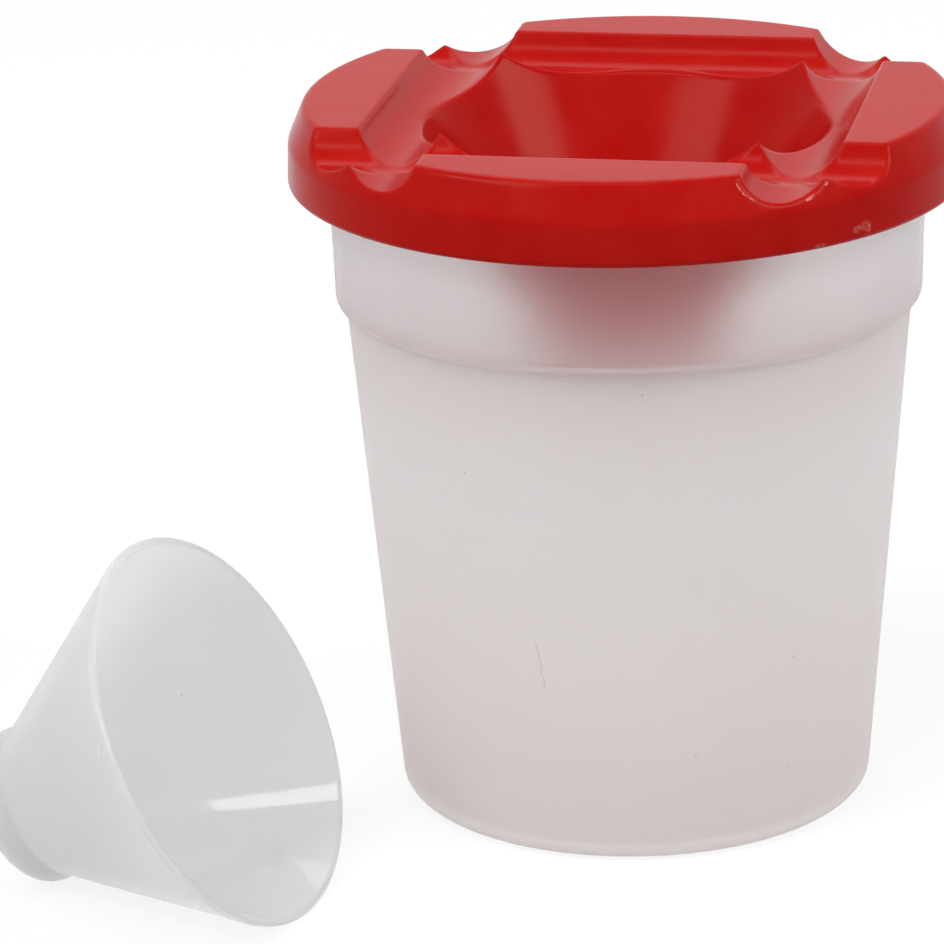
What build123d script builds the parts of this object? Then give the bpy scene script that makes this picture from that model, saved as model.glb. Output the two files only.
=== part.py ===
from build123d import *
import math
import os

# A paint cup with a non-spill lid and a cone stopper. Millimetres and degrees.
# The origin is on the table, at the centre of the cup's base. +Z is up.
# The lid's troughs run along X and Y. The stopper lies on its side beside the cup.

# Cup: a tapered pot with a wider band under a rim flange. The band ends below in a
# narrow ledge, and the shares are of that ledge's width
base_radius = 31.4
base_round = 2.5
floor_thickness = 1.6
cup_wall = 1.2
body_top_radius = 37.3
body_height = 68.5
ledge_width = 1.3
ledge_edge_share = 0.88
ledge_root_share = 0.1
band_height = 19.4
band_flare = 0.6
inner_floor_round = 3.0
rim_flange_width = 2.3
rim_flange_height = 1.8
rim_flange_round = 0.7

# Lid: skirt, sloped shoulder and flat top
lid_wall = 1.3
lid_skirt_height = 5.65
lid_skirt_draft = 0.2
lid_shoulder_height = 4.9
lid_shoulder_width = 2.1
lid_edge_round = 0.8
lid_crease_round = 3.0
skirt_foot_round = 0.8
skirt_bead_depth = 1.2
skirt_bead_height = 1.5
skirt_bead_round = 0.3

# Lid: troughs that hold the brushes, crossing like a #
trough_radius = 5.6
trough_depth = 3.9
trough_offset = 25.85
trough_edge_round = 0.5
trough_lip_angle = 12

# Lid: well, funnel and plug ring
well_radius = 26.7
cone_half_angle = 29.8
spout_length = 5.0
plug_ring_depth = 4.5
plug_ring_wall = 1.2
plug_ring_lead = 0.5

# Stopper: a hollow cone with a closed round tip
stopper_mouth_radius = 26.5
stopper_tip_radius = 10.5
stopper_tip_length = 5.4
stopper_tip_round = 2.85
stopper_neck_round = 2.0
stopper_wall = 1.2
stopper_rim_round = 0.5
stopper_turn = -11.1
stopper_contact_x = -33.9
stopper_contact_y = -52.2

# Clearances between pieces that separate by hand
seat_gap = 0.3
bead_clearance = 0.4
plug_clearance = 0.35
stopper_clearance = 0.3

# How far a cutting shape runs past the faces that it cuts
cut_overrun = 4.0

# Heights and radii that follow from the sizes above
ledge_edge_round = ledge_edge_share * ledge_width
ledge_root_round = ledge_root_share * ledge_width
band_bottom_radius = body_top_radius + ledge_width
band_top_radius = band_bottom_radius + band_flare
rim_flange_radius = band_top_radius + rim_flange_width
band_top_z = body_height + band_height
cup_height = band_top_z + rim_flange_height
bead_radius = rim_flange_radius + bead_clearance
skirt_inside_radius = bead_radius + skirt_bead_depth
lid_radius = skirt_inside_radius + lid_wall
crease_radius = lid_radius - lid_skirt_draft
lid_top_radius = crease_radius - lid_shoulder_width
trough_floor_z = cup_height + seat_gap + lid_wall
lid_top_z = trough_floor_z + trough_depth
crease_z = lid_top_z - lid_shoulder_height
skirt_bottom_z = crease_z - lid_skirt_height
cone_slope = math.tan(math.radians(cone_half_angle))
outlet_radius = stopper_tip_radius + stopper_clearance
spout_top_z = trough_floor_z - (well_radius - outlet_radius) / cone_slope
spout_bottom_z = spout_top_z - spout_length


def turned(corners, rounds):
    """Revolve a closed outline of (radius, height) corners about Z.

    The first and last corners lie on the axis or close the outline with a straight
    line, and rounds holds one fillet radius for each corner between them.
    """
    with BuildSketch(Plane.XZ) as outline:
        with BuildLine():
            side = FilletPolyline(*corners, radius=rounds)
            Line(side @ 1, side @ 0)
        make_face()
    return revolve(outline.sketch, Axis.Z)


def cup():
    """Pot with a straight tapered wall, a ledge under its band and a rim flange."""
    inner_base = base_radius - cup_wall + floor_thickness * body_slope()
    inner_ledge_z = body_height + cup_wall
    corners = [
        (0, 0),
        (base_radius, 0),
        (body_top_radius, body_height),
        (band_bottom_radius, body_height),
        (band_top_radius, band_top_z),
        (rim_flange_radius, band_top_z),
        (rim_flange_radius, cup_height),
        (band_top_radius - cup_wall, cup_height),
        (band_bottom_radius - cup_wall, inner_ledge_z),
        (body_top_radius - cup_wall, inner_ledge_z),
        (inner_base, floor_thickness),
        (0, floor_thickness),
    ]
    rounds = [
        base_round,
        ledge_root_round,
        ledge_edge_round,
        rim_flange_round,
        rim_flange_round,
        rim_flange_round,
        rim_flange_round,
        ledge_root_round,
        ledge_edge_round,
        inner_floor_round,
    ]
    return turned(corners, rounds)


def body_slope():
    """Outward lean of the cup's body wall, as radius gained per unit of height."""
    return (body_top_radius - base_radius) / body_height


def band_inner_radius(height):
    """Inside radius of the cup's band at a height above the table."""
    lean = band_flare / band_height
    return band_bottom_radius - cup_wall + lean * (height - body_height)


def lid_outside():
    """Solid cap with the lid's outer shape, before it is hollowed and cut."""
    corners = [
        (0, skirt_bottom_z),
        (lid_radius, skirt_bottom_z),
        (crease_radius, crease_z),
        (lid_top_radius, lid_top_z),
        (0, lid_top_z),
    ]
    return turned(corners, [skirt_foot_round, lid_crease_round, lid_edge_round])


def lid_hollow():
    """Space under the lid's top and inside its skirt, narrowed by the foot bead."""
    bead_top_z = skirt_bottom_z + skirt_bead_height
    corners = [
        (0, skirt_bottom_z - cut_overrun),
        (bead_radius, skirt_bottom_z - cut_overrun),
        (bead_radius, bead_top_z),
        (skirt_inside_radius, bead_top_z + skirt_bead_depth),
        (skirt_inside_radius - lid_skirt_draft, crease_z),
        (lid_top_radius - lid_wall, lid_top_z - lid_wall),
        (0, lid_top_z - lid_wall),
    ]
    inner_crease_round = lid_crease_round - lid_wall
    return turned(corners, [0, skirt_bead_round, skirt_bead_round, inner_crease_round, 0])


def crossed(section):
    """Run a section lengthways along all four troughs, two each way."""
    half_length = lid_radius + cut_overrun
    bar = extrude(Plane.YZ * section, half_length, both=True)
    bars = Part()
    for side in (-1, 1):
        bars += Pos(0, side * trough_offset, lid_top_z) * bar
        bars += Rot(0, 0, 90) * (Pos(0, side * trough_offset, lid_top_z) * bar)
    return bars


def trough_section():
    """Open space of one trough: a round bottom that rolls over onto the flat top.

    The section's own origin is on the lid's top, above the middle of the trough.
    """
    axis_height = trough_radius - trough_depth
    lip_depth = trough_edge_round * math.cos(math.radians(trough_lip_angle))
    reach = trough_radius + trough_edge_round
    lip_x = math.sqrt(reach**2 - (axis_height + lip_depth) ** 2)
    lean = math.degrees(math.asin((axis_height + lip_depth) / reach))
    lip_sweep = 90 - lean - trough_lip_angle
    edge_x = lip_x - trough_edge_round * math.sin(math.radians(trough_lip_angle))
    with BuildSketch() as section:
        with BuildLine():
            CenterArc((0, axis_height), trough_radius, 180 + lean, 180 - 2 * lean)
            CenterArc((lip_x, -lip_depth), trough_edge_round, 90 + trough_lip_angle, lip_sweep)
            CenterArc((-lip_x, -lip_depth), trough_edge_round, lean, lip_sweep)
            Polyline((edge_x, 0), (edge_x, cut_overrun), (-edge_x, cut_overrun), (-edge_x, 0))
        make_face()
    return section.sketch


def trough_wall_section():
    """Outside of one trough's wall, as a full round."""
    axis_height = trough_radius - trough_depth
    return Pos(0, axis_height) * Circle(trough_radius + lid_wall)


def funnel(grow, bottom_z, top_z):
    """Cone and spout as a solid plug between two heights, grown outwards by a wall."""
    grow_on_cone = grow / math.cos(math.radians(cone_half_angle))
    spout_radius = outlet_radius + grow
    neck_z = spout_top_z - (grow_on_cone - grow) / cone_slope
    top_radius = well_radius + grow_on_cone + (top_z - trough_floor_z) * cone_slope
    corners = [
        (0, bottom_z),
        (spout_radius, bottom_z),
        (spout_radius, neck_z),
        (top_radius, top_z),
        (0, top_z),
    ]
    return turned(corners, [0, 0, 0])


def plug_ring():
    """Ring under the lid that stands just inside the cup's rim."""
    bottom_z = cup_height - plug_ring_depth
    outer_radius = band_inner_radius(bottom_z) - plug_clearance
    inner_radius = outer_radius - plug_ring_wall
    top_z = lid_top_z - lid_wall / 2
    corners = [
        (inner_radius, bottom_z),
        (outer_radius - plug_ring_lead, bottom_z),
        (outer_radius, bottom_z + plug_ring_lead),
        (outer_radius, top_z),
        (inner_radius, top_z),
    ]
    return turned(corners, [0, 0, 0])


def lid():
    """Thin shell whose underside follows the troughs and the funnel."""
    funnel_outside = funnel(lid_wall, spout_bottom_z, lid_top_z - lid_wall)
    funnel_inside = funnel(0, spout_bottom_z - cut_overrun, lid_top_z + cut_overrun)
    solid = lid_outside() + funnel_outside - funnel_inside
    solid -= crossed(trough_section())
    hollow = lid_hollow() - crossed(trough_wall_section())
    hollow = hollow - plug_ring() - funnel_outside
    return solid - hollow


def stopper_upright():
    """Stopper standing on its closed tip, with its axis on Z, and its height."""
    wall_on_cone = stopper_wall / math.cos(math.radians(cone_half_angle))
    neck_z = stopper_tip_length
    mouth_z = neck_z + (stopper_mouth_radius - stopper_tip_radius) / cone_slope
    inner_tip_radius = stopper_tip_radius - stopper_wall
    inner_neck_z = neck_z + (wall_on_cone - stopper_wall) / cone_slope
    corners = [
        (0, 0),
        (stopper_tip_radius, 0),
        (stopper_tip_radius, neck_z),
        (stopper_mouth_radius, mouth_z),
        (stopper_mouth_radius - wall_on_cone, mouth_z),
        (inner_tip_radius, inner_neck_z),
        (inner_tip_radius, stopper_wall),
        (0, stopper_wall),
    ]
    rounds = [
        stopper_tip_round,
        stopper_neck_round,
        stopper_rim_round,
        stopper_rim_round,
        stopper_neck_round,
        stopper_tip_round - stopper_wall,
    ]
    return turned(corners, rounds), mouth_z


def rim_round_centre(mouth_z):
    """Centre of the rounding on the stopper's outer rim, as (radius, height)."""
    along_cone = stopper_rim_round / math.cos(math.radians(cone_half_angle))
    radius = stopper_mouth_radius - stopper_rim_round * cone_slope - along_cone
    return radius, mouth_z - stopper_rim_round


def lying_tilt(mouth_z):
    """Rise of the stopper's axis when it lies on its rim and on its round tip."""
    rim_radius, rim_z = rim_round_centre(mouth_z)
    across = rim_radius - (stopper_tip_radius - stopper_tip_round)
    along = rim_z - stopper_tip_round
    difference = stopper_rim_round - stopper_tip_round
    lean = math.asin(difference / math.hypot(across, along))
    return math.degrees(math.atan2(across, along) + lean)


def stopper():
    """Stopper lying on its side, touching the table with its rim and its tip."""
    upright, mouth_z = stopper_upright()
    rim_radius, rim_z = rim_round_centre(mouth_z)
    on_rim = Pos(-rim_radius, 0, -rim_z) * upright
    laid = Pos(0, 0, stopper_rim_round) * Rot(0, 90 - lying_tilt(mouth_z), 0) * on_rim
    return Pos(stopper_contact_x, stopper_contact_y, 0) * Rot(0, 0, stopper_turn) * laid


pieces = {"cup": cup(), "lid": lid(), "stopper": stopper()}
os.makedirs("parts", exist_ok=True)
for name, piece in pieces.items():
    solids = piece.solids()
    print(name, "solids", len(solids), "volume", round(piece.volume), "valid", piece.is_valid)
    export_step(piece, "parts/" + name + ".step")
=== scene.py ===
# %% [markdown]
# # A paint cup with a non-spill lid and a cone stopper
#
# The cup is a frosted pot, the lid is a red moulding with four brush troughs round
# a deep well, and the stopper is a thin clear cone that plugs the well. This
# notebook dresses the measured model of those three pieces: it builds each surface
# as a smooth mesh, gives it a plastic finish and lights it like a catalogue shot.

# %% Load the measured model
import math

import bpy
from mathutils import Matrix, Vector


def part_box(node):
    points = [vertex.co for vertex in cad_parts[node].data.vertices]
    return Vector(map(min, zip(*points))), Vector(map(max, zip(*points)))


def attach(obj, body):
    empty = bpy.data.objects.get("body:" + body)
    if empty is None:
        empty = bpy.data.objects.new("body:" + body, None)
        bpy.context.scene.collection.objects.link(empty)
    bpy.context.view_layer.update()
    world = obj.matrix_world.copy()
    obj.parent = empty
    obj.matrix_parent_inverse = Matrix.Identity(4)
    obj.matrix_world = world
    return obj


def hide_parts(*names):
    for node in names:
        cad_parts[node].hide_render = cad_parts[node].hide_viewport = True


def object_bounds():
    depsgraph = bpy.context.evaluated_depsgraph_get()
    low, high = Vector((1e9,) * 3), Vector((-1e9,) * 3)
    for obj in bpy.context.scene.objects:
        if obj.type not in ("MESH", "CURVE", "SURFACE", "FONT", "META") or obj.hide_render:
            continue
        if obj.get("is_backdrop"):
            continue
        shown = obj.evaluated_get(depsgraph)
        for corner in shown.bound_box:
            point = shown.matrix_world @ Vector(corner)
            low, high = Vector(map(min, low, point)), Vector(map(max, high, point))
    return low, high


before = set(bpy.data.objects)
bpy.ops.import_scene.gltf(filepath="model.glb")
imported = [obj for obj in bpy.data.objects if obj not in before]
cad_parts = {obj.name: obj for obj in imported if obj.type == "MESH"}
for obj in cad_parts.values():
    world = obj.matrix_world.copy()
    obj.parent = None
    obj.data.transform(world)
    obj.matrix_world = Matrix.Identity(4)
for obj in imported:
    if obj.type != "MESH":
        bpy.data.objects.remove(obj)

mm = 0.001
cad_box = [list(corner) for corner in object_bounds()]
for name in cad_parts:
    low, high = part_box(name)
    print(name, "from", [round(v, 4) for v in low], "to", [round(v, 4) for v in high])

# %% [markdown]
# ## Camera
#
# The photograph was taken from about two thirds of a metre away with a long lens, a
# little above the lid. The camera first stands on the -Y axis. Then it is swung
# round the cup by the angle at which the lid's troughs appear turned. It could be
# placed by eye, but a fitted place puts it where the photograph was taken from.

# %% Place the camera
camera_distance = 0.65998
camera_height = 0.27084
camera_swing = math.radians(9.926)
camera_pan = math.radians(1.851)
camera_dip = math.radians(19.005)
camera_roll = math.radians(-1.547)
sensor_width = 36.0
lens = 199.22

camera_data = bpy.data.cameras.new("camera")
camera_data.sensor_width = sensor_width
camera_data.lens = lens
camera_data.clip_start = 0.05
camera_data.clip_end = 20.0
camera = bpy.data.objects.new("camera", camera_data)
bpy.context.scene.collection.objects.link(camera)
bpy.context.scene.camera = camera

swing = Matrix.Rotation(camera_swing, 4, "Z")
aim = (
    Matrix.Rotation(camera_swing + camera_pan, 4, "Z")
    @ Matrix.Rotation(math.pi / 2 - camera_dip, 4, "X")
    @ Matrix.Rotation(camera_roll, 4, "Z")
)
camera.matrix_world = Matrix.Translation(swing @ Vector((0, -camera_distance, camera_height))) @ aim
print("camera at", [round(v, 4) for v in camera.matrix_world.translation])

# %% [markdown]
# ## How a turned moulding is drawn
#
# Every piece here is round about an axis, so its shape is one section: a line of
# points, each with a radius and a height. Sharp corners never come out of a mould,
# so each corner is replaced by an arc. The section could be spun with the Screw
# modifier, but a Geometry Nodes tree keeps the number of sectors as a named input,
# and the lid's tree can then press the brush troughs into the turned surface.

# %% Round the corners of a section
arc_turn = math.radians(15)


def arc_points(before, corner, after, radius):
    """Points of the arc that rounds a corner between two straight runs."""
    back = (before - corner).normalized()
    ahead = (after - corner).normalized()
    half = back.angle(ahead) / 2
    reach = radius / math.tan(half)
    centre = corner + (back + ahead).normalized() * (radius / math.sin(half))
    spoke = corner + back * reach - centre
    turn = math.pi - 2 * half
    if back.cross(ahead) > 0:
        turn = -turn
    steps = max(2, math.ceil(abs(turn) / arc_turn))
    return [centre + Matrix.Rotation(turn * i / steps, 2) @ spoke for i in range(steps + 1)]


def section_points(corners):
    """Walk along corners of (radius, height, round, spacing of the run that follows)."""
    places = [Vector(corner[:2]) for corner in corners]
    points = []
    for i, (_, _, radius, spacing) in enumerate(corners):
        inner = 0 < i < len(corners) - 1
        if inner and radius > 0:
            bend = arc_points(places[i - 1], places[i], places[i + 1], radius)
        else:
            bend = [places[i]]
        if points:
            start = points[-1]
            count = max(1, round((bend[0] - start).length / run_spacing))
            points += [start.lerp(bend[0], k / count) for k in range(1, count)]
        points += bend
        run_spacing = spacing
    return points


corner = [(0, 0, 0, 1), (1, 0, 0.25, 1), (1, 1, 0, 1)]
print("a rounded square corner takes", len(section_points(corner)), "points")

# %% Make a section a mesh line
def section_mesh(name, stretches):
    """Mesh line of a section. A stretch is (corners, follow, depth)."""
    points, follow, depth = [], [], []
    for corners, follows, inward in stretches:
        walked = section_points(corners)
        points += [(p.x, 0, p.y) for p in walked]
        follow += [follows] * len(walked)
        depth += [inward] * len(walked)
    mesh = bpy.data.meshes.new(name)
    mesh.from_pydata(points, [(i, i + 1) for i in range(len(points) - 1)], [])
    for label, values in (("follow", follow), ("depth", depth)):
        mesh.attributes.new(label, "FLOAT", "POINT").data.foreach_set("value", values)
    print(name, "section has", len(points), "points")
    return mesh


# %% [markdown]
# ## Wires: sums written as sums
#
# A node tree full of Math nodes is hard to read in a script. The Wire class below
# holds one output socket and makes a Math node for each sign, so the trees further
# down can be written as ordinary formulas. It serves shader trees just as well.

# %% A wire that makes Math nodes
def feed(tree, slot, value):
    """Link a wire or a socket to an input, or set the input to a plain value."""
    if isinstance(value, Wire):
        value = value.socket
    if isinstance(value, bpy.types.NodeSocket):
        tree.links.new(value, slot)
    else:
        slot.default_value = value


class Wire:
    """A number on its way through a tree."""

    def __init__(self, tree, socket):
        self.tree = tree
        self.socket = socket

    def math(self, operation, *others):
        made = self.tree.nodes.new("ShaderNodeMath")
        made.operation = operation
        for slot, value in zip(made.inputs, (self, *others)):
            feed(self.tree, slot, value)
        return Wire(self.tree, made.outputs[0])

    def __add__(self, other):
        return self.math("ADD", other)

    def __sub__(self, other):
        return self.math("SUBTRACT", other)

    def __mul__(self, other):
        return self.math("MULTIPLY", other)

    def __truediv__(self, other):
        return self.math("DIVIDE", other)

    def length_with(self, other):
        """Length of the long side over this side and the other."""
        return (self * self + other * other).math("SQRT")

    def ramp(self, start, end):
        """0 up to start, 1 from end on, and straight between them."""
        return ((self - start) / (end - start)).math("MINIMUM", 1).math("MAXIMUM", 0)


# %% [markdown]
# ## Shorter ways to add a node
#
# A node takes a line for its kind, one for each setting and one for each input. The
# helpers below take all of them in one call. A tree could be drawn by hand in the
# editor instead, but a script runs again whenever a size changes.

# %% Add nodes and trees
def node(tree, kind, settings=None, **inputs):
    """Add a node, set its properties, and link or set its inputs by name."""
    made = tree.nodes.new(kind)
    for label, value in (settings or {}).items():
        setattr(made, label, value)
    for label, value in inputs.items():
        feed(tree, made.inputs[label.replace("_", " ")], value)
    return made


def vector_node(tree, operation, *vectors):
    """Add a Vector Math node whose inputs are sockets or plain vectors."""
    made = node(tree, "ShaderNodeVectorMath", {"operation": operation})
    for slot, vector in zip(made.inputs, vectors):
        feed(tree, slot, vector)
    return made


def new_tree(name, inputs, output_kind="NodeSocketGeometry", output_name="Geometry"):
    """Geometry Nodes tree with named inputs, given as {name: (socket kind, value)}."""
    tree = bpy.data.node_groups.new(name, "GeometryNodeTree")
    for label, (kind, value) in inputs.items():
        socket = tree.interface.new_socket(label, in_out="INPUT", socket_type=kind)
        if value is not None:
            socket.default_value = value
    tree.interface.new_socket(output_name, in_out="OUTPUT", socket_type=output_kind)
    return tree, tree.nodes.new("NodeGroupInput"), tree.nodes.new("NodeGroupOutput")


# %% [markdown]
# ## The tree that turns a section
#
# A grid has one row for each section point and one column for each sector. Every
# grid point reads the radius and height of its row, and its column gives the angle
# round the axis. The last column lands on the first one, and the rows on the axis
# shrink to a point, so Merge by Distance closes the seam and the poles. Curve to
# Mesh could sweep the section too, but rows and columns make each step plain to see.

# %% Wrap a grid round the axis
def turned_grid(tree, section, sectors):
    """Grid wrapped round the axis. Returns the mesh and each point's follow and depth."""
    count = node(tree, "GeometryNodeAttributeDomainSize", Geometry=section).outputs["Point Count"]
    columns = Wire(tree, sectors) + 1
    grid = node(tree, "GeometryNodeMeshGrid", Vertices_X=columns, Vertices_Y=count)
    index = Wire(tree, tree.nodes.new("GeometryNodeInputIndex").outputs[0])
    rows = Wire(tree, count)
    column = (index / rows).math("FLOOR")
    row = index - column * rows
    position = tree.nodes.new("GeometryNodeInputPosition").outputs[0]

    def read(kind, value):
        settings = {"data_type": kind, "domain": "POINT"}
        sample = node(tree, "GeometryNodeSampleIndex", settings, Geometry=section, Value=value, Index=row)
        return sample.outputs[0]

    place = node(tree, "ShaderNodeSeparateXYZ", Vector=read("FLOAT_VECTOR", position))
    angle = column / Wire(tree, sectors) * math.tau
    radius = Wire(tree, place.outputs["X"])
    x = radius * angle.math("COSINE")
    y = radius * angle.math("SINE")
    attributes = []
    for label in ("follow", "depth"):
        named = node(tree, "GeometryNodeInputNamedAttribute", {"data_type": "FLOAT"}, Name=label)
        attributes.append(Wire(tree, read("FLOAT", named.outputs["Attribute"])))
    height = Wire(tree, place.outputs["Z"])
    return grid.outputs["Mesh"], (x, y, height), attributes


# %% Close the turned mesh and give it a material
def finished(tree, mesh, merge_distance, material):
    """Close the seam and the poles, shade smooth, realize and set the material."""
    merged = node(tree, "GeometryNodeMergeByDistance", Geometry=mesh, Distance=merge_distance)
    smooth = node(tree, "GeometryNodeSetShadeSmooth", Geometry=merged.outputs[0])
    real = node(tree, "GeometryNodeRealizeInstances", Geometry=smooth.outputs[0])
    return node(tree, "GeometryNodeSetMaterial", Geometry=real.outputs[0], Material=material).outputs[0]


turning_inputs = {
    "Geometry": ("NodeSocketGeometry", None),
    "Sectors": ("NodeSocketInt", 256),
    "Merge Distance": ("NodeSocketFloat", 0.002 * mm),
    "Material": ("NodeSocketMaterial", None),
}
turning, source, result = new_tree("turned piece", turning_inputs)
grid, (x, y, height), _ = turned_grid(turning, source.outputs["Geometry"], source.outputs["Sectors"])
place = node(turning, "ShaderNodeCombineXYZ", X=x, Y=y, Z=height)
wrapped = node(turning, "GeometryNodeSetPosition", Geometry=grid, Position=place.outputs[0])
closed = finished(turning, wrapped.outputs[0], source.outputs["Merge Distance"], source.outputs["Material"])
turning.links.new(closed, result.inputs[0])
print("turning tree has", len(turning.nodes), "nodes")

# %% [markdown]
# ## The lid's surface as a distance
#
# The lid's troughs, well and shoulder all meet in soft edges. Booleans would leave
# them sharp, and a Bevel would fail where five edges run into one corner. So the
# lid is described by one formula: how far a point lies outside the plastic. Each
# cut is a distance of its own, and Smooth Maximum joins them with a soft edge. A
# ball-nosed tool would leave the same shapes in the mould. Every size is a named
# input of the tree, measured down from the top of the measured lid.

# %% The lid's sizes
lid_low, lid_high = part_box("lid")
lid_top_z = lid_high[2]
lid_sizes = {
    "Top Height": lid_top_z,
    "Top Radius": 42.1 * mm,
    "Crease Height": lid_top_z - 4.9 * mm,
    "Crease Radius": 44.2 * mm,
    "Foot Height": lid_top_z - 10.55 * mm,
    "Foot Radius": 44.4 * mm,
    "Trough Radius": 5.6 * mm,
    "Trough Axis Height": lid_top_z + 1.7 * mm,
    "Trough Offset": 25.85 * mm,
    "Well Radius": 26.7 * mm,
    "Well Height": lid_top_z - 3.9 * mm,
    "Spout Radius": 10.8 * mm,
    "Spout Height": lid_low[2] + 5.0 * mm,
    "Edge Softness": 0.9 * mm,
    "Crease Softness": 0.3 * mm,
    "Lip Softness": 0.6 * mm,
    "Well Softness": 0.8 * mm,
}
size_inputs = {label: ("NodeSocketFloat", value) for label, value in lid_sizes.items()}
print("the lid has", len(lid_sizes), "named sizes under a top at", round(lid_top_z / mm, 2), "mm")

# %% Distance outside the lid
def past_line(radius, height, start, end):
    """Distance past a straight run of the section, from start up to end."""
    run = end[0] - start[0]
    rise = end[1] - start[1]
    return ((radius - start[0]) * rise - (height - start[1]) * run) / run.length_with(rise)


surface, source, result = new_tree(
    "distance outside the lid",
    {"Point": ("NodeSocketVector", None), **size_inputs},
    output_kind="NodeSocketFloat",
    output_name="Distance",
)
size = {label: Wire(surface, source.outputs[label]) for label in lid_sizes}
place = node(surface, "ShaderNodeSeparateXYZ", Vector=source.outputs["Point"])
x, y, z = (Wire(surface, place.outputs[axis]) for axis in "XYZ")
radius = x.length_with(y)
top = z - size["Top Height"]
crease = (size["Crease Radius"], size["Crease Height"])
shoulder = past_line(radius, z, crease, (size["Top Radius"], size["Top Height"]))
skirt = past_line(radius, z, (size["Foot Radius"], size["Foot Height"]), crease)
cap = top.math("SMOOTH_MAX", shoulder, size["Edge Softness"])
cap = cap.math("SMOOTH_MAX", skirt, size["Crease Softness"])
troughs = []
for across in (x, y):
    aside = across.math("ABSOLUTE") - size["Trough Offset"]
    troughs.append(size["Trough Radius"] - aside.length_with(z - size["Trough Axis Height"]))
trough = troughs[0].math("SMOOTH_MAX", troughs[1], size["Lip Softness"])
spout_top = (size["Spout Radius"], size["Spout Height"])
funnel = past_line(radius, z, spout_top, (size["Well Radius"], size["Well Height"])) * -1
well = funnel.math("SMOOTH_MAX", size["Spout Radius"] - radius, size["Edge Softness"])
outside = cap.math("SMOOTH_MAX", trough, size["Lip Softness"])
outside = outside.math("SMOOTH_MAX", well, size["Well Softness"])
surface.links.new(outside.socket, result.inputs[0])
print("lid surface tree has", len(surface.nodes), "nodes")

# %% [markdown]
# ## The tree that presses the lid
#
# The troughs are pressed into the turned section. First the grid lines are drawn
# together near the lips, where the surface bends most, and then each point is
# lowered onto the troughs. A remesh of a solid would reach the same surface, but it
# would scatter the faces and could break through the thin wall. Points with follow
# at 0, on the skirt's inside and on the ring under the lid, stay where the section
# puts them.

# %% Lower the turned section onto the troughs
pressing, source, result = new_tree(
    "pressed lid",
    {**turning_inputs, "Rounds": ("NodeSocketInt", 8), **size_inputs},
)
size = {label: Wire(pressing, source.outputs[label]) for label in lid_sizes}
grid, (x, y, height), (follow, depth) = turned_grid(
    pressing, source.outputs["Geometry"], source.outputs["Sectors"]
)
rise = size["Trough Axis Height"] - size["Top Height"]
half_width = (size["Trough Radius"] * size["Trough Radius"] - rise * rise).math("SQRT")
gather_width = 2.0 * mm
gather_shift = 0.38 * mm


def gathered(across):
    """Draw the grid lines together near the four lips that cross one axis."""
    distance = across.math("ABSOLUTE")
    shift = follow * gather_shift
    near = distance
    for side in (-1, 1):
        lip = size["Trough Offset"] + half_width * side
        phase = ((distance - lip) / gather_width).math("MINIMUM", 1).math("MAXIMUM", -1)
        near = near - (phase * math.pi).math("SINE") * shift
    return near * across.math("SIGN")


x, y = gathered(x), gathered(y)
lowered = height
tube = size["Trough Radius"] + depth
for across in (x, y):
    aside = across.math("ABSOLUTE") - size["Trough Offset"]
    drop = (tube * tube - aside * aside).math("MAXIMUM", 0).math("SQRT")
    lowered = lowered.math("MINIMUM", size["Trough Axis Height"] - drop)
height = height + (lowered - height) * follow
place = node(pressing, "ShaderNodeCombineXYZ", X=x, Y=y, Z=height)
lowered_grid = node(pressing, "GeometryNodeSetPosition", Geometry=grid, Position=place.outputs[0])
stored = lowered_grid.outputs[0]
settings = {"data_type": "FLOAT", "domain": "POINT"}
for label, wire in (("follow", follow), ("depth", depth)):
    store = node(
        pressing, "GeometryNodeStoreNamedAttribute", settings, Geometry=stored, Name=label, Value=wire
    )
    stored = store.outputs[0]

print("so far the pressing tree has", len(pressing.nodes), "nodes")

# %% [markdown]
# ### Onto the surface, step by step
#
# A Repeat Zone moves each point along the steepest way to the surface, a few times
# over, until it lies on it. The slope comes from asking for the distance again a
# little to the side. Points of the underside stop one wall thickness further in, so
# the wall is even everywhere, as a moulding needs. One long step would be quicker,
# but it overshoots where two soft edges meet.

# %% Move each point onto the surface
repeat_start = pressing.nodes.new("GeometryNodeRepeatInput")
repeat_end = pressing.nodes.new("GeometryNodeRepeatOutput")
repeat_start.pair_with_output(repeat_end)
pressing.links.new(source.outputs["Rounds"], repeat_start.inputs["Iterations"])
pressing.links.new(stored, repeat_start.inputs["Geometry"])

probe = 0.05 * mm


def distance_at(shift):
    """Distance outside the lid at each point moved by a small shift."""
    here = pressing.nodes.new("GeometryNodeInputPosition").outputs[0]
    there = vector_node(pressing, "ADD", here, shift)
    call = node(pressing, "GeometryNodeGroup", {"node_tree": surface}, Point=there.outputs[0])
    for label in lid_sizes:
        pressing.links.new(source.outputs[label], call.inputs[label])
    return Wire(pressing, call.outputs[0])


def carried(label):
    """Value that every point carries under a label."""
    named = node(pressing, "GeometryNodeInputNamedAttribute", Name=label)
    return Wire(pressing, named.outputs["Attribute"])


level = distance_at((0, 0, 0))
slope = [(distance_at(shift) - level) / probe for shift in Matrix.Scale(probe, 3)]
steepness = slope[0] * slope[0] + slope[1] * slope[1] + slope[2] * slope[2]
pace = (level + carried("depth")) * carried("follow") / steepness * -1
step = node(pressing, "ShaderNodeCombineXYZ", X=slope[0] * pace, Y=slope[1] * pace, Z=slope[2] * pace)
moving = repeat_start.outputs["Geometry"]
moved = node(pressing, "GeometryNodeSetPosition", Geometry=moving, Offset=step.outputs[0])
pressing.links.new(moved.outputs[0], repeat_end.inputs["Geometry"])
pressed = repeat_end.outputs["Geometry"]
closed = finished(pressing, pressed, source.outputs["Merge Distance"], source.outputs["Material"])
pressing.links.new(closed, result.inputs[0])
print("pressing tree has", len(pressing.nodes), "nodes")

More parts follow.
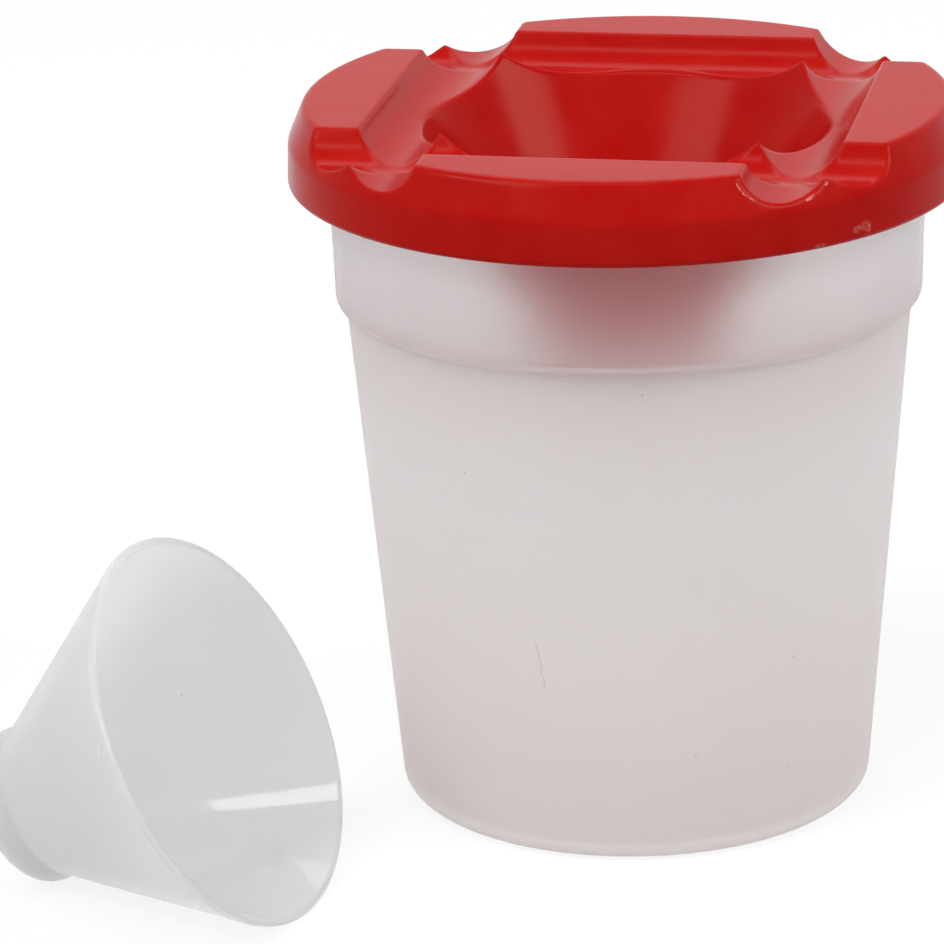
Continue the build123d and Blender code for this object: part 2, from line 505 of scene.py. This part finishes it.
# %% [markdown]
# ## From a tree to a plain mesh
#
# A tree's result lives only while its modifier runs. The pieces have to be plain
# meshes that can be exported and checked, so each result is copied out and its
# volume is measured. Apply Modifier would do too, but it needs a selected object.
# Each piece here is one mesh on one body. A negative volume means that the faces
# point inwards, and then they are flipped.

# %% Turn a tree's result into a plain mesh
def volume_of(mesh):
    """Signed volume in cubic millimetres, positive when the faces point outwards."""
    mesh.calc_loop_triangles()
    total = 0.0
    for triangle in mesh.loop_triangles:
        a, b, c = (mesh.vertices[i].co for i in triangle.vertices)
        total += a.dot(b.cross(c)) / 6
    return total / mm**3


def made_by_tree(name, section, tree, values):
    """Run a tree on a section and keep its result as a plain mesh object."""
    raw = bpy.data.objects.new(name + "_section", section)
    bpy.context.scene.collection.objects.link(raw)
    modifier = raw.modifiers.new("tree", "NODES")
    modifier.node_group = tree
    for item in tree.interface.items_tree:
        if item.in_out == "INPUT" and item.name in values:
            modifier[item.identifier] = values[item.name]
    depsgraph = bpy.context.evaluated_depsgraph_get()
    mesh = bpy.data.meshes.new_from_object(raw.evaluated_get(depsgraph), depsgraph=depsgraph)
    mesh.name = name
    bpy.data.objects.remove(raw)
    for label in ("follow", "depth"):
        if label in mesh.attributes:
            mesh.attributes.remove(mesh.attributes[label])
    piece = bpy.data.objects.new(name, mesh)
    bpy.context.scene.collection.objects.link(piece)
    volume = volume_of(mesh)
    if volume < 0:
        mesh.flip_normals()
    print(name, "has", len(mesh.loop_triangles), "triangles")
    print(name, "holds", round(abs(volume)), "cubic mm of plastic")
    return piece


# %% [markdown]
# ## Finishes
#
# Moulded polypropylene is never one flat colour: it has cloudy patches, a fine
# skin from the mould and small scuffs from handling. Patterns on Object coordinates
# make them, so they stay fixed to the piece when it moves. A few short functions
# make the patterns, so that each finish below reads as a list of what it shows.

# %% A material and its cloudy patches
def principled(name):
    """New material. Returns it with its tree, its shader and its Object coordinates."""
    made = bpy.data.materials.new(name)
    made.use_nodes = True
    tree = made.node_tree
    place = tree.nodes.new("ShaderNodeTexCoord").outputs["Object"]
    return made, tree, tree.nodes["Principled BSDF"], place


def patches(tree, place, size, detail=2.0, stretch=(1, 1, 1)):
    """Smooth noise around 0.5 whose patches have about the given size."""
    stretched = node(tree, "ShaderNodeMapping", Vector=place, Scale=stretch)
    noise = node(tree, "ShaderNodeTexNoise", Vector=stretched.outputs[0], Scale=1 / size, Detail=detail)
    return Wire(tree, noise.outputs["Fac"])


# %% [markdown]
# ### Specks and scratches
#
# A speck of dust is the middle of a cell in a Voronoi pattern. A scratch is every
# place close to a line between two points, and a slight waver keeps it from looking
# ruled. Marks could be painted on an image, but these stay sharp however near the
# camera comes, and they need no unwrapping.

# %% Specks and scratches
speck_core = 0.6
scratch_core = 0.4
waver_size = 1.5 * mm
waver_reach = Vector((0.5, 0.5, 0.5)) * mm
noise_middle = Vector((0.5, 0.5, 0.5))


def specks(tree, place, spacing, reach):
    """1 inside small round specks that lie about the given spacing apart."""
    cells = node(tree, "ShaderNodeTexVoronoi", Vector=place, Scale=1 / spacing)
    return Wire(tree, cells.outputs["Distance"]).ramp(reach / spacing, speck_core * reach / spacing)


def scratch(tree, place, start, end, reach):
    """1 on a thin mark drawn between two places, given in millimetres."""
    axis = (Vector(end) - Vector(start)) * mm
    aside = vector_node(tree, "SUBTRACT", place, Vector(start) * mm)
    along = vector_node(tree, "DOT_PRODUCT", aside.outputs[0], axis)
    share = (Wire(tree, along.outputs["Value"]) / axis.length_squared).ramp(0, 1)
    nearest = vector_node(tree, "SCALE", axis)
    feed(tree, nearest.inputs["Scale"], share)
    gap = vector_node(tree, "DISTANCE", aside.outputs[0], nearest.outputs[0])
    return Wire(tree, gap.outputs["Value"]).ramp(reach * mm, scratch_core * reach * mm)


def scratches(tree, place, marks):
    """Strongest of several scratches, each (start, end, reach), drawn with a slight waver."""
    waver = node(tree, "ShaderNodeTexNoise", Vector=place, Scale=1 / waver_size)
    centred = vector_node(tree, "SUBTRACT", waver.outputs["Color"], noise_middle)
    shaken = vector_node(tree, "MULTIPLY_ADD", centred.outputs[0], waver_reach, place)
    total = None
    for start, end, reach in marks:
        mark = scratch(tree, shaken.outputs[0], start, end, reach)
        total = mark if total is None else total.math("MAXIMUM", mark)
    return total


# %% Mix colours, share a bump and mix shaders
def colour_between(tree, share, first, second):
    """Colour that runs from the first to the second as share goes from 0 to 1."""
    mix = node(tree, "ShaderNodeMix", {"data_type": "RGBA"})
    feed(tree, mix.inputs[0], share)
    for slot, colour in ((mix.inputs[6], first), (mix.inputs[7], second)):
        plain = isinstance(colour, tuple)
        feed(tree, slot, (*colour, 1) if plain else colour)
    return mix.outputs[2]


def bumped(tree, shaders, height, distance):
    """Give the same bump to several shaders."""
    bump = node(tree, "ShaderNodeBump", Height=height, Distance=distance)
    for shader in shaders:
        tree.links.new(bump.outputs[0], shader.inputs["Normal"])


def mixed_with(tree, shader, other, share):
    """Show the shader mixed with a share of another one."""
    mixed = node(tree, "ShaderNodeMixShader", Fac=share)
    feed(tree, mixed.inputs[1], shader.outputs[0])
    feed(tree, mixed.inputs[2], other.outputs[0])
    feed(tree, tree.nodes["Material Output"].inputs["Surface"], mixed.outputs[0])


# %% [markdown]
# ### Red plastic
#
# The lid is red right through, with a satin skin. Its flats look a little cloudy,
# its skirt carries a few rubbed smudges, and there are short scratches on a pad.
# The lips of one trough carry painted highlights: pale glints painted into the
# colour where the lamps catch the edges. A random scatter of scuffs would be less
# work, but each mark is placed one by one, so that it sits where the real one does.
# A scuff or a painted glint lifts the colour and the roughness at once.

# %% Where the lid is marked, and where glints are painted on its lips
# The first four are painted highlights: pale glints along the lips of one trough.
painted_lip_glints = [
    ((28.4, -33.3, 91.2), (29.1, -32.5, 91.7), 0.24),
    ((30.3, -30.8, 92.5), (30.5, -30.6, 92.7), 0.24),
    ((20.3, -37.4, 94.2), (21.0, -37.5, 93.1), 0.16),
    ((21.0, -37.5, 93.1), (22.3, -37.3, 92.1), 0.14),
]
pad_scratches = [
    ((33.0, -2.6, 95.2), (34.4, -4.0, 95.2), 0.07),
    ((34.8, -6.6, 95.2), (36.2, -7.2, 95.2), 0.06),
    ((30.6, 5.2, 95.2), (31.0, 3.6, 95.2), 0.05),
]
shoulder_scratch = ((-12.4, -42.4, 90.4), (-11.2, -42.9, 90.0), 0.05)
marks = [*painted_lip_glints, *pad_scratches, shoulder_scratch]
smudges = [
    ((33.9, -28.7, 86.2), (34.6, -27.7, 86.3), 0.55),
    ((34.8, -27.5, 86.5), (35.2, -27.0, 86.2), 0.8),
    ((29.6, -33.0, 85.2), (30.2, -32.3, 85.2), 0.45),
]
# The scratches counted here include the four painted glints.
print("the lid has", len(marks), "scratches and", len(smudges), "smudges")

# %% Red plastic
deep_red = (0.39, 0.0035, 0.0025)
bright_red = (0.415, 0.008, 0.005)
# This pink paints the real scuffs and smudges, and also the painted glints on the lips.
scuff_and_glint_pink = (0.7, 0.27, 0.23)
red_cover = {"scuff_and_glint": 0.85, "smudge": 0.6}
red_roughness = {"skin": 0.16, "cloud": 0.06, "grain": 0.04, "scuff_and_glint": 0.3}
red_gloss = 0.05
red_gloss_tint = (1, 0.88, 0.78, 1)
ripple_share = 6
red_bump = 0.006 * mm

red_plastic, tree, shader, place = principled("red_plastic")
cloud = patches(tree, place, size=6 * mm, detail=3).ramp(0.3, 0.7)
grain = patches(tree, place, size=0.5 * mm, detail=1)
ripple = patches(tree, place, size=5 * mm, detail=1)
mark_breakup = patches(tree, place, size=0.35 * mm, detail=1)
smudged = scratches(tree, place, smudges) * mark_breakup.ramp(0.3, 0.8) * red_cover["smudge"]
# Real scratches and smudges, and the painted glints on the lips.
scuffs_and_painted_glints = (scratches(tree, place, marks) * mark_breakup.ramp(0.35, 0.6)).math("MAXIMUM", smudged)
cloudy = colour_between(tree, cloud, deep_red, bright_red)
scuffed_and_glinted_colour = colour_between(tree, scuffs_and_painted_glints * red_cover["scuff_and_glint"], cloudy, scuff_and_glint_pink)
feed(tree, shader.inputs["Base Color"], scuffed_and_glinted_colour)
dulled = cloud * red_roughness["cloud"] + grain * red_roughness["grain"]
dulled = dulled + scuffs_and_painted_glints * red_roughness["scuff_and_glint"] + red_roughness["skin"]
feed(tree, shader.inputs["Roughness"], dulled)
feed(tree, shader.inputs["Specular IOR Level"], red_gloss)
feed(tree, shader.inputs["Specular Tint"], red_gloss_tint)
bumped(tree, [shader], grain + ripple * ripple_share, red_bump)
print("red plastic takes", len(tree.nodes), "nodes")

# %% [markdown]
# ### Frosted plastic
#
# The pot lets light through but no clear picture. Its band is clearer than the body,
# so the red funnel shows there as a blurred patch. The band also has a faint painted
# pink that stands in for the red light of the lid shining through it. Towards the
# foot the wall is painted darker and warmer, as painted shade. The finish mixes rough
# transmission with Translucent, which soaks light through like paper. Transmission
# alone would look like ground glass, and Translucent alone would hide the funnel.

# %% Frosted plastic
body_milk = (0.958, 0.965, 0.962)
# Painted shade: the wall is painted darker and warmer towards the foot.
foot_painted_shade = (0.89, 0.85, 0.84)
# Painted light: the band's faint pink stands in for the lid's red light shining through.
band_milk_and_painted_glow = (0.975, 0.95, 0.962)
cloud_milk = (0.88, 0.87, 0.87)
speck_brown = (0.45, 0.38, 0.36)
hairline_grey = (0.62, 0.6, 0.6)
frost_cover = {"cloud": 0.25, "speck": 0.6, "hairline": 0.7}
frost_ior = 1.35
frost_roughness = {"skin": 0.47, "clear": -0.08, "cloud": 0.06}
see_through = {"body": 0.5, "band": 0.41, "hairline": -0.4}
soak_through = {"body": 0.5, "clear": -0.25, "band": -0.2}
frost_bump = 0.02 * mm
hairlines = [
    ((-7.4, -33.6, 32.8), (-6.9, -33.3, 29.9), 0.11),
    ((-6.9, -33.3, 29.9), (-6.1, -33.0, 25.4), 0.11),
    ((-6.1, -33.0, 25.4), (-6.3, -33.0, 24.2), 0.09),
]

frosted_plastic, tree, shader, place = principled("frosted_plastic")
apart = node(tree, "ShaderNodeSeparateXYZ", Vector=place)
up = Wire(tree, apart.outputs["Z"])
band = up.ramp(start=68.4 * mm, end=69.4 * mm)
clear = up.ramp(start=68.5 * mm, end=77 * mm)
# Share of the painted shade: none above 50 mm, full at 6 mm and below.
foot_shade_share = up.ramp(start=50 * mm, end=6 * mm)
cloud = patches(tree, place, size=22 * mm, detail=2, stretch=(1, 1, 0.5)).ramp(0.25, 0.75)
skin = patches(tree, place, size=1.2 * mm, detail=2)
dirt = specks(tree, place, spacing=7 * mm, reach=0.16 * mm)
hairline = scratches(tree, place, hairlines)
body_with_foot_shade = colour_between(tree, foot_shade_share, body_milk, foot_painted_shade)
# The band takes the painted pink glow.
milk_with_painted_light = colour_between(tree, band, body_with_foot_shade, band_milk_and_painted_glow)
clouded = colour_between(tree, cloud * frost_cover["cloud"], milk_with_painted_light, cloud_milk)
dusty = colour_between(tree, dirt * frost_cover["speck"], clouded, speck_brown)
scratched = colour_between(tree, hairline * frost_cover["hairline"], dusty, hairline_grey)
feed(tree, shader.inputs["Base Color"], scratched)
dulled = clear * frost_roughness["clear"] + cloud * frost_roughness["cloud"] + frost_roughness["skin"]
feed(tree, shader.inputs["Roughness"], dulled)
seen_through = band * see_through["band"] + see_through["body"] + hairline * see_through["hairline"]
feed(tree, shader.inputs["Transmission Weight"], seen_through)
feed(tree, shader.inputs["IOR"], frost_ior)
backlit = node(tree, "ShaderNodeBsdfTranslucent", Color=scratched)
bumped(tree, [shader, backlit], skin, frost_bump)
soaked = clear * soak_through["clear"] + soak_through["body"] + band * soak_through["band"]
mixed_with(tree, shader, backlit, soaked)
print("frosted plastic takes", len(tree.nodes), "nodes")

# %% [markdown]
# ### Clear plastic
#
# The stopper is thin and nearly clear, with a gloss that shows a lamp as a crisp
# patch. A faint seam from its mould runs down one side, and a few specks and one
# short scratch mark its surface. Plain glass would be too empty against the white
# paper, so it gets a share of Translucent too, which gives the plastic its body.

# %% Clear plastic
stopper_grey = (0.85, 0.85, 0.846)
stopper_cloud = (0.838, 0.832, 0.84)
speck_dark = (0.3, 0.28, 0.26)
nick_grey = (0.62, 0.62, 0.62)
clear_cover = {"speck": 0.8, "nick": 0.45}
clear_ior = 1.4
clear_transmission = 0.72
clear_soak = 0.38
clear_roughness = {"skin": 0.035, "cloud": 0.02, "nick": 0.3}
clear_bump = 0.03 * mm
nicks = [
    ((-40.6, -31.9, 10.6), (-40.8, -33.9, 8.5), 0.12),
    ((-57.7, -59.6, 44.1), (-56.6, -65.5, 39.2), 0.09),
    ((-56.2, -67.2, 38.2), (-55.7, -71.0, 34.2), 0.09),
    ((-55.3, -71.8, 32.4), (-54.6, -73.0, 28.4), 0.08),
]

clear_plastic, tree, shader, place = principled("clear_plastic")
cloud = patches(tree, place, size=14 * mm, detail=2).ramp(0.25, 0.75)
ripple = patches(tree, place, size=6 * mm, detail=1)
dirt = specks(tree, place, spacing=6 * mm, reach=0.13 * mm)
nicked = scratches(tree, place, nicks)
clouded = colour_between(tree, cloud, stopper_grey, stopper_cloud)
dusty = colour_between(tree, dirt * clear_cover["speck"], clouded, speck_dark)
scratched = colour_between(tree, nicked * clear_cover["nick"], dusty, nick_grey)
feed(tree, shader.inputs["Base Color"], scratched)
dulled = cloud * clear_roughness["cloud"] + nicked * clear_roughness["nick"] + clear_roughness["skin"]
feed(tree, shader.inputs["Roughness"], dulled)
feed(tree, shader.inputs["IOR"], clear_ior)
feed(tree, shader.inputs["Transmission Weight"], clear_transmission)
backlit = node(tree, "ShaderNodeBsdfTranslucent", Color=scratched)
bumped(tree, [shader, backlit], ripple, clear_bump)
mixed_with(tree, shader, backlit, clear_soak)
print("clear plastic takes", len(tree.nodes), "nodes")

# %% [markdown]
# ## The cup
#
# The pot tapers outwards, steps out in a narrow ledge under its band, and ends in a
# rim flange that the lid sits on. It could be a cylinder whose loops are scaled by
# hand, but a section states every size once. It starts on the axis under the floor
# and ends on the axis above it.

# %% The cup's sizes
_, cup_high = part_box("cup")
cup_height = cup_high[2]
cup_wall = 1.2 * mm
base_radius = 31.4 * mm
base_round = 2.5 * mm
floor_thickness = 1.6 * mm
floor_round = 3.0 * mm
body_radius = 37.3 * mm
body_height = 68.5 * mm
ledge_width = 1.3 * mm
ledge_edge = 0.88 * ledge_width
ledge_root = 0.1 * ledge_width
band_radius = body_radius + ledge_width
band_flare = 0.6 * mm
flange_radius = cup_high[0]
flange_height = 1.8 * mm
flange_round = 0.7 * mm
run = 3.0 * mm
fine = 0.6 * mm
print("the cup stands", round(cup_height / mm, 2), "mm tall under its lid")

# %% Draw and turn the cup
inner_ledge_z = body_height + cup_wall
inner_base = base_radius - cup_wall + floor_thickness * (body_radius - base_radius) / body_height
cup_corners = [
    (0, 0, 0, run),
    (base_radius, 0, base_round, run),
    (body_radius, body_height, ledge_root, fine),
    (band_radius, body_height, ledge_edge, run),
    (band_radius + band_flare, cup_height - flange_height, flange_round, fine),
    (flange_radius, cup_height - flange_height, flange_round, fine),
    (flange_radius, cup_height, flange_round, fine),
    (band_radius + band_flare - cup_wall, cup_height, flange_round, run),
    (band_radius - cup_wall, inner_ledge_z, ledge_root, fine),
    (body_radius - cup_wall, inner_ledge_z, ledge_edge, run),
    (inner_base, floor_thickness, floor_round, run),
    (0, floor_thickness, 0, run),
]
cup_section = section_mesh("cup_section", [(cup_corners, 0, 0)])
cup_values = {"Sectors": 320, "Material": frosted_plastic}
cup = made_by_tree("frosted_cup", cup_section, turning, cup_values)

# %% [markdown]
# ## The lid
#
# The lid's section is a closed loop: up the inside of the spout and funnel, over the
# flat top, down the shoulder and the skirt, and back along the underside. The rows
# lie close together where the troughs run, because a soft edge needs several rows
# across it. Sculpting would give soft edges too, but not one size that can be named.

# %% The funnel's slope
lid_wall = 1.3 * mm
cone_slope = (lid_sizes["Well Radius"] - lid_sizes["Spout Radius"]) / (
    lid_sizes["Well Height"] - lid_sizes["Spout Height"]
)
cone_side = lid_wall * math.hypot(1, cone_slope)
spout_radius = lid_sizes["Spout Radius"]
spout_low = lid_low[2]
foot_z = lid_sizes["Foot Height"]
crease_z = lid_sizes["Crease Height"]


def cone_radius(height, grow=0.0):
    """Radius of the funnel at a height, grown outwards."""
    return lid_sizes["Well Radius"] + grow + (height - lid_sizes["Well Height"]) * cone_slope


print("the funnel is", round(2 * cone_radius(lid_top_z) / mm, 2), "mm wide at the lid's top")

# %% Small sizes of the skirt, the ring and the spout
bead_gap = 0.4 * mm
bead_depth = 1.2 * mm
bead_radius = flange_radius + bead_gap
bead_top = foot_z + 1.5 * mm
bead_round = 0.3 * mm
foot_round = 0.8 * mm
foot_inner_round = 0.4 * mm
skirt_inside = bead_radius + bead_depth
pressed_end = (lid_sizes["Crease Radius"] + 0.05 * mm, crease_z - 1.5 * mm)
skirt_start = (lid_sizes["Crease Radius"] + 0.06 * mm, crease_z - 2.0 * mm)
skirt_end = (skirt_inside - 0.15 * mm, crease_z - 1.0 * mm)
under_start = (skirt_inside - 0.2 * mm, crease_z)
ring_wall = 1.2 * mm
ring_outer = 37.57 * mm
ring_inner = ring_outer - ring_wall
ring_low = cup_height - 4.5 * mm
ring_root = ring_low + 2.5 * mm
ring_round = 0.4 * mm
spout_outer = spout_radius + lid_wall
spout_lip = spout_low + 1.0 * mm
spout_outer_lip = spout_low + 0.8 * mm
spout_round = 0.3 * mm
under_top = lid_top_z - lid_wall
under_spout = lid_sizes["Spout Height"] - (cone_side - lid_wall) / cone_slope
well_start = lid_top_z - 4.6 * mm
well_rows = 0.4 * mm
pad_rows = 0.28 * mm
shoulder_rows = 0.34 * mm
medium = 1.8 * mm
wide = 3.0 * mm
print("the ring under the lid plugs", round((cup_height - ring_low) / mm, 2), "mm of the cup")

# %% Draw the lid's section
outside_run = [
    (spout_radius, spout_lip, 0, wide),
    (spout_radius, lid_sizes["Spout Height"], 0, wide),
    (cone_radius(well_start), well_start, 0, well_rows),
    (cone_radius(lid_top_z), lid_top_z, 0, pad_rows),
    (lid_sizes["Top Radius"], lid_top_z, 0, shoulder_rows),
    (lid_sizes["Crease Radius"], crease_z, 0, well_rows),
    (*pressed_end, 0, well_rows),
]
skirt_run = [
    (*skirt_start, 0, wide),
    (lid_sizes["Foot Radius"], foot_z, foot_round, fine),
    (bead_radius, foot_z, foot_inner_round, fine),
    (bead_radius, bead_top, bead_round, fine),
    (skirt_inside, bead_top + bead_depth, bead_round, wide),
    (*skirt_end, 0, wide),
]
under_outer = [
    (*under_start, 0, medium),
    (lid_sizes["Top Radius"] - lid_wall, under_top, 0, medium),
    (ring_outer, under_top, 0, medium),
]
ring_run = [
    (ring_outer, ring_root, 0, fine),
    (ring_outer, ring_low, ring_round, fine),
    (ring_inner, ring_low, ring_round, fine),
    (ring_inner, ring_root, 0, fine),
]
under_inner = [
    (ring_inner, under_top, 0, medium),
    (cone_radius(under_top, cone_side), under_top, 0, medium),
    (cone_radius(well_start - lid_wall, cone_side), well_start - lid_wall, 0, wide),
    (spout_outer, under_spout, 0, wide),
    (spout_outer, spout_lip, 0, wide),
]
spout_run = [
    (spout_outer, spout_outer_lip, 0, fine),
    (spout_outer, spout_low, spout_round, fine),
    (spout_radius, spout_low, spout_round, fine),
    (spout_radius, spout_lip, 0, fine),
]

# %% Turn and press the lid
lid_section = section_mesh(
    "lid_section",
    [
        (outside_run, 1, 0),
        (skirt_run, 0, 0),
        (under_outer, 1, lid_wall),
        (ring_run, 0, 0),
        (under_inner, 1, lid_wall),
        (spout_run, 0, 0),
    ],
)
lid_values = {"Sectors": 540, "Material": red_plastic, **lid_sizes}
lid = made_by_tree("red_lid", lid_section, pressing, lid_values)

# %% [markdown]
# ## The stopper
#
# The stopper is the same cone as the well, closed by a round tip. It is drawn
# standing on its tip and then laid on the table, where it rests on its rim and on
# the side of its tip. Turning the object would do, but its place belongs in its
# mesh, so the mesh is turned and the object stays at the origin.

# %% Draw and turn the stopper
stopper_wall = 1.2 * mm
mouth_radius = 26.5 * mm
tip_radius = 10.5 * mm
tip_length = 5.4 * mm
tip_round = 2.85 * mm
neck_round = 2.0 * mm
rim_round = 0.5 * mm

wall_on_cone = stopper_wall * math.hypot(1, cone_slope)
mouth_z = tip_length + (mouth_radius - tip_radius) / cone_slope
inner_neck_z = tip_length + (wall_on_cone - stopper_wall) / cone_slope
stopper_corners = [
    (0, 0, 0, run),
    (tip_radius, 0, tip_round, fine),
    (tip_radius, tip_length, neck_round, run),
    (mouth_radius, mouth_z, rim_round, fine),
    (mouth_radius - wall_on_cone, mouth_z, rim_round, run),
    (tip_radius - stopper_wall, inner_neck_z, neck_round, fine),
    (tip_radius - stopper_wall, stopper_wall, tip_round - stopper_wall, run),
    (0, stopper_wall, 0, run),
]
stopper_section = section_mesh("stopper_section", [(stopper_corners, 0, 0)])
stopper_values = {"Sectors": 288, "Material": clear_plastic}
stopper = made_by_tree("clear_stopper", stopper_section, turning, stopper_values)

# %% Lay the stopper on the table
stopper_turn = math.radians(-11.1)
contact = Vector((-33.9 * mm, -52.2 * mm, 0))
rim_r = mouth_radius - rim_round * cone_slope - rim_round * math.hypot(1, cone_slope)
rim_z = mouth_z - rim_round
across = rim_r - (tip_radius - tip_round)
along = rim_z - tip_round
lean = math.asin((rim_round - tip_round) / math.hypot(across, along))
tilt = math.atan2(across, along) + lean
laid = (
    Matrix.Translation(contact + Vector((0, 0, rim_round)))
    @ Matrix.Rotation(stopper_turn, 4, "Z")
    @ Matrix.Rotation(math.pi / 2 - tilt, 4, "Y")
    @ Matrix.Translation(Vector((-rim_r, 0, -rim_z)))
)
stopper.data.transform(laid)
print("stopper rests at", round(min(v.co.z for v in stopper.data.vertices), 6))

# %% [markdown]
# ## Each piece on its body
#
# The pot stands still, and the lid and the stopper can be lifted off. Each mesh
# takes the place of the measured piece of the same name and moves with it. Joining
# them would be simpler, but then nothing could be lifted.

# %% Put each piece on its body
for piece, body, slot_name in (
    (cup, "cup", "frosted_plastic"),
    (lid, "lid", "red_plastic"),
    (stopper, "stopper", "clear_plastic"),
):
    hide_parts(body)
    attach(piece, body)
    print(piece.name, "rides on", body)

# %% [markdown]
# ## Studio
#
# The pot stands on white paper. Camera, gloss and see-through rays find the paper and
# the room at full white, while the light that falls on the object stays at a plain
# level. The paper keeps a soft share of the shadow. Brighter lamps would whiten the
# paper as well, but they would bleach the pot.

# %% What the camera sees and what the light sees
room_light = 0.4
paper_white = 0.95
paper_bounce = 0.5
paper_glow = 0.8
paper_roughness = 0.9
paper_width = 4


def seen_rays(tree):
    """1 for camera, gloss and see-through rays, and 0 for rays that carry light."""
    path = tree.nodes.new("ShaderNodeLightPath")
    seen = Wire(tree, path.outputs["Is Camera Ray"])
    for ray in ("Is Glossy Ray", "Is Transmission Ray"):
        seen = seen.math("MAXIMUM", Wire(tree, path.outputs[ray]))
    return seen


# %% The white room
world = bpy.data.worlds.new("studio")
bpy.context.scene.world = world
world.use_nodes = True
tree = world.node_tree
tree.nodes.clear()
output = tree.nodes.new("ShaderNodeOutputWorld")
strength = seen_rays(tree) * (1 - room_light) + room_light
background = node(tree, "ShaderNodeBackground", Color=(1, 1, 1, 1), Strength=strength)
feed(tree, output.inputs[0], background.outputs[0])
print("the room shines at 1 when seen and lights at", room_light)

# %% The white paper
bpy.ops.mesh.primitive_plane_add(size=paper_width)
floor = bpy.context.active_object
floor.name = "floor"
floor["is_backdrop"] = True
paper, tree, shader, _ = principled("paper")
feed(tree, shader.inputs["Roughness"], paper_roughness)
seen = seen_rays(tree)
tone = seen * (paper_white - paper_bounce) + paper_bounce
grey = node(tree, "ShaderNodeCombineColor", Red=tone, Green=tone, Blue=tone)
feed(tree, shader.inputs["Base Color"], grey.outputs[0])
glow = node(tree, "ShaderNodeEmission", Color=(1, 1, 1, 1), Strength=1.0)
mixed_with(tree, shader, glow, seen * paper_glow)
floor.data.materials.append(paper)
print("the paper looks", paper_white, "white and bounces", paper_bounce, "of the light")

# %% [markdown]
# ### Soft boxes
#
# Four soft boxes light the pot. Two stand left and right of the camera and draw the
# bands of sheen in the well, one behind lifts the pads, and one above draws the
# highlight inside the stopper. Point lamps would light it as well, but a box has a
# size, and its size is the shape of the sheen. Each place is an azimuth and an
# elevation seen from what it lights.

# %% Four soft boxes
lamp_distance = 1.2
well_middle = Vector((0, 0, 85)) * mm
stopper_front = Vector((-45, -35, 8)) * mm


def lamp(name, radiance, width, depth, azimuth, elevation, target=well_middle, spin=0):
    """Rectangular soft box seen from the target at an azimuth and an elevation."""
    light = bpy.data.lights.new(name, "AREA")
    light.shape = "RECTANGLE"
    light.size = width
    light.size_y = depth
    light.energy = radiance * math.pi * width * depth
    lit = bpy.data.objects.new(name, light)
    turn, lift = math.radians(azimuth), math.radians(elevation)
    aimed = Vector((math.cos(lift) * math.cos(turn), math.cos(lift) * math.sin(turn), math.sin(lift)))
    lit.location = target + aimed * lamp_distance
    facing = aimed.to_track_quat("Z", "Y").to_matrix() @ Matrix.Rotation(math.radians(spin), 3, "Z")
    lit.rotation_euler = facing.to_euler()
    bpy.context.scene.collection.objects.link(lit)
    print(name, "gives", round(light.energy, 2), "watts")


camera_azimuth = math.degrees(camera_swing) - 90
lamp("right_box", radiance=12, width=0.62, depth=0.26, azimuth=camera_azimuth + 68, elevation=36)
lamp("left_box", radiance=9, width=0.7, depth=0.3, azimuth=camera_azimuth - 54, elevation=39)
lamp("back_box", radiance=2.5, width=0.7, depth=0.4, azimuth=camera_azimuth + 175, elevation=52)
lamp(
    "top_box",
    radiance=9,
    width=0.8,
    depth=0.2,
    azimuth=camera_azimuth - 32,
    elevation=71,
    target=stopper_front,
    spin=32,
)

# %% [markdown]
# ## The last step
#
# Standard shows each colour as it is written, where the default would soften the
# red. The box of the finished pieces is printed beside the box of the measured
# model, so the two can be read side by side.

# %% Keep the boxes and finish
bpy.context.scene.view_settings.view_transform = "Standard"
visual_box = [list(corner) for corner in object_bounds()]
for corner, made in zip(cad_box, visual_box):
    print("cad", [round(v / mm, 2) for v in corner], "visual", [round(v / mm, 2) for v in made])
